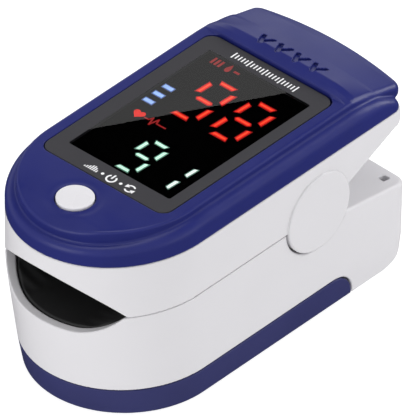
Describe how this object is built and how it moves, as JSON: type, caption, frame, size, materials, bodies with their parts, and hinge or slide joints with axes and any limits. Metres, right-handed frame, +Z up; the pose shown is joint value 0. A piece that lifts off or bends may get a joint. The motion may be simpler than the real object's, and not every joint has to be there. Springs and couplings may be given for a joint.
{
  "type": "fingertip pulse oximeter",
  "caption": "Fingertip pulse oximeter: a sprung clip in two jaws with a segment display on top, one push button and a sliding battery cover underneath.",
  "frame": {"origin": "the middle of the footprint, on the surface the oximeter rests on", "axes": "+Z up, +Y toward the hinge end, -Y toward the finger opening, X across the width"},
  "size_m": [0.0316, 0.0618, 0.034],
  "materials": {
    "blue_cover": "satin moulded ABS",
    "white_shell": "semi-gloss moulded ABS",
    "blue_base": "satin moulded ABS",
    "smoked_window": "smoked polycarbonate with a printed grey border",
    "display_black": "black LED display block",
    "led_red": "lit display segment",
    "white_button": "glossy white cap",
    "black_silicone": "soft matt silicone",
    "clear_lens": "clear epoxy window",
    "board_green": "solder mask",
    "chip_black": "moulded chip package",
    "die_gold": "gold-coloured die",
    "grey_frame": "moulded tray",
    "cell_wrap": null,
    "nickel": "nickel-plated spring steel",
    "steel": "zinc-plated steel",
    "ribbon_amber": "polyimide film"
  },
  "bodies": {
    "lower_jaw": {"lower_shell": "white_shell", "battery_tray": "grey_frame", "cell_left": "cell_wrap", "cell_right": "cell_wrap", "battery_springs": "nickel", "contact_plates": "nickel", "lower_finger_pad": "black_silicone", "sensor_board": "board_green", "photodiode": "chip_black", "sensor_window": "clear_lens", "hinge_pin": "steel", "torsion_spring_left": "steel", "torsion_spring_right": "steel", "tray_screw": "steel", "ribbon_lower": "ribbon_amber"},
    "upper_jaw": {"upper_shell": "white_shell", "top_cover": "blue_cover", "display_window": "smoked_window", "display_module": "display_black", "display_segments": "led_red", "main_board": "board_green", "board_chips": "chip_black", "tact_switch": "chip_black", "upper_finger_pad": "black_silicone", "emitter_board": "board_green", "emitter_leds": "die_gold", "emitter_window": "clear_lens", "cover_screws": "steel", "spring_arms": "steel", "ribbon_upper": "ribbon_amber"},
    "button": {"power_button": "white_button"},
    "battery_door": {"battery_cover": "blue_base"}
  },
  "joints": [
    {"name": "jaw_hinge", "type": "hinge", "parent": "lower_jaw", "child": "upper_jaw", "pos_m": [0, 0.0106, 0.0194], "axis": [-1, 0, 0], "range_deg": [0, 28], "stiffness_Nm_per_rad": 0.12},
    {"name": "button_press", "type": "slide", "parent": "upper_jaw", "child": "button", "axis": [0, 0, -1], "range_m": [0, 0.0004], "stiffness_N_per_m": 400},
    {"name": "battery_cover_slide", "type": "slide", "parent": "lower_jaw", "child": "battery_door", "axis": [0, -1, 0], "range_m": [0, 0.03]}
  ]
}
